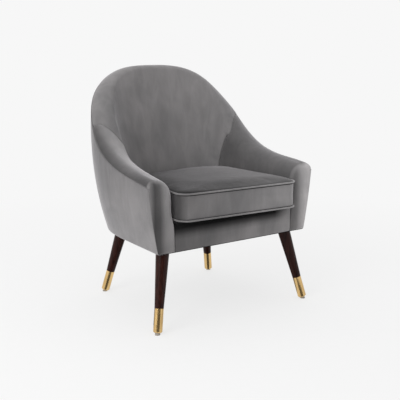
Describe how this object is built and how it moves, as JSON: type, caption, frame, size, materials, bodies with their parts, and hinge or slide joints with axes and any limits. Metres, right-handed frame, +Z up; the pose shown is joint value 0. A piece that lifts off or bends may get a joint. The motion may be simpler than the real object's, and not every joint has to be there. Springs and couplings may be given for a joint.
{
  "type": "armchair",
  "caption": "Upholstered tub armchair with low arms that sweep up into an arched back, a loose piped seat cushion and splayed tapered legs with metal ferrules.",
  "frame": {"origin": "on the floor, under the middle of the chair's bounding box", "axes": "+Z up; the sitter faces -Y; +X is the right-hand side as seen from the front, and left and right in node names are as seen from the front"},
  "size_m": [0.676, 0.603, 0.83],
  "materials": {
    "velvet": "matte",
    "foam": "matte",
    "felt": "matte",
    "deck_cloth": "matte",
    "dust_cloth": "matte",
    "webbing": "matte",
    "frame_wood": "matte",
    "hardboard": "matte",
    "dark_wood": "satin",
    "brass": "satin",
    "steel": "satin",
    "zip_metal": "satin",
    "glide_nylon": "matte"
  },
  "bodies": {
    "chair": {"back_foam": "foam", "back_lining": "hardboard", "back_slat": "frame_wood", "back_top_rail": "frame_wood", "back_webbing": "webbing", "corner_blocks": "frame_wood", "deck_cover": "deck_cloth", "deck_pad": "felt", "dust_cover": "dust_cloth", "front_left_ferrule": "brass", "front_left_glide": "glide_nylon", "front_left_leg": "dark_wood", "front_rail_cover": "velvet", "front_rail_padding": "foam", "front_right_ferrule": "brass", "front_right_glide": "glide_nylon", "front_right_leg": "dark_wood", "front_seat_rail": "frame_wood", "hanger_bolts": "steel", "inside_back_cover": "velvet", "left_arm_foam": "foam", "left_arm_front_cover": "velvet", "left_arm_post": "frame_wood", "left_arm_top_rail": "frame_wood", "left_back_post": "frame_wood", "left_inside_arm_cover": "velvet", "left_outside_arm_cover": "velvet", "left_seat_rail": "frame_wood", "left_side_lining": "hardboard", "outside_back_cover": "velvet", "rear_left_ferrule": "brass", "rear_left_glide": "glide_nylon", "rear_left_leg": "dark_wood", "rear_right_ferrule": "brass", "rear_right_glide": "glide_nylon", "rear_right_leg": "dark_wood", "rear_seat_rail": "frame_wood", "right_arm_foam": "foam", "right_arm_front_cover": "velvet", "right_arm_post": "frame_wood", "right_arm_top_rail": "frame_wood", "right_back_post": "frame_wood", "right_inside_arm_cover": "velvet", "right_outside_arm_cover": "velvet", "right_seat_rail": "frame_wood", "right_side_lining": "hardboard", "seat_springs": "steel", "spring_clips": "steel"},
    "cushion": {"cushion_bottom_panel": "velvet", "cushion_bottom_piping": "velvet", "cushion_boxing": "velvet", "cushion_foam_core": "foam", "cushion_top_panel": "velvet", "cushion_top_piping": "velvet", "cushion_zip_panel": "velvet"},
    "zip": {"zip_slider": "zip_metal"}
  },
  "joints": [
    {"name": "cushion_lift", "type": "slide", "parent": "chair", "child": "cushion", "axis": [0, 0, 1], "range_m": [0, 0.2]},
    {"name": "zip_slide", "type": "slide", "parent": "cushion", "child": "zip", "axis": [1, 0, 0], "range_m": [0, 0.116]}
  ]
}
